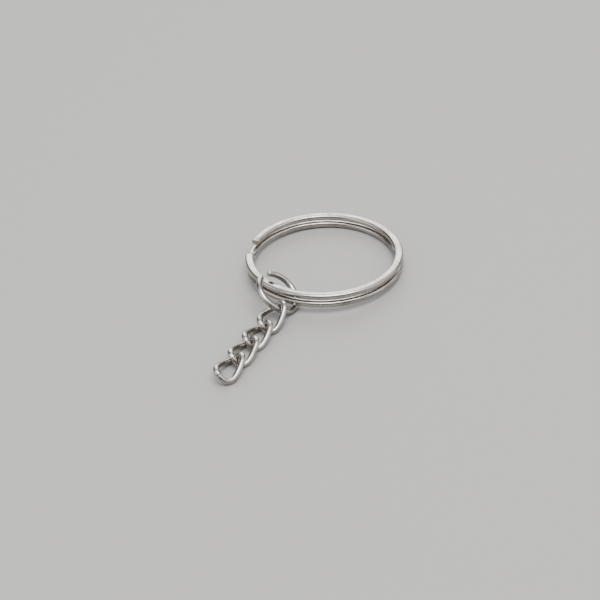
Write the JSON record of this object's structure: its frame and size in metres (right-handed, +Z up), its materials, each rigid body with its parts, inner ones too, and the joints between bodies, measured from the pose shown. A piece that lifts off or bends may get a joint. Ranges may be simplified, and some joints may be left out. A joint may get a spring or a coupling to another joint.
{
  "type": "split key ring with chain",
  "caption": "Flat-wire split key ring with a round-wire jump ring and a short curb chain, lying flat; the jump ring and every link swing.",
  "frame": {"origin": "middle of the underside of the whole object as it lies on a flat surface", "axes": "+X from the split ring towards the chain's free end, +Z up from the surface it lies on"},
  "size_m": [0.0454, 0.025, 0.0053],
  "materials": {
    "flat_wire": "bright nickel plating on flattened spring steel wire",
    "round_wire": "bright nickel plating on round steel wire",
    "chain_wire": "bright nickel plating on round steel wire"
  },
  "bodies": {
    "split_ring": {"split_ring": "flat_wire"},
    "jump_ring": {"jump_ring": "round_wire"},
    "link_1": {"link_1": "chain_wire"},
    "link_2": {"link_2": "chain_wire"},
    "link_3": {"link_3": "chain_wire"},
    "link_4": {"link_4": "chain_wire"}
  },
  "joints": [
    {"name": "ring_swing", "type": "hinge", "parent": "split_ring", "child": "jump_ring", "pos_m": [0.00156, -0.00171, 0.0023], "axis": [0.1442, 0.9895, 0.0068], "range_deg": [-160, 8]},
    {"name": "chain_hook", "type": "hinge", "parent": "jump_ring", "child": "link_1", "pos_m": [0.00485, -0.00009, 0.00183], "axis": [-0.5289, 0.6146, -0.5853], "range_deg": [-100, 60]},
    {"name": "link_2_swing", "type": "hinge", "parent": "link_1", "child": "link_2", "pos_m": [0.00921, -0.0003, 0.00114], "axis": [-0.1575, 0.6565, -0.7377], "range_deg": [-60, 40]},
    {"name": "link_3_swing", "type": "hinge", "parent": "link_2", "child": "link_3", "pos_m": [0.0124, -0.00073, 0.00121], "axis": [0.0304, -0.6954, -0.718], "range_deg": [-40, 60]},
    {"name": "link_4_swing", "type": "hinge", "parent": "link_3", "child": "link_4", "pos_m": [0.01792, -0.00049, 0.00121], "axis": [-0.0304, 0.6954, -0.718], "range_deg": [-60, 40]}
  ]
}
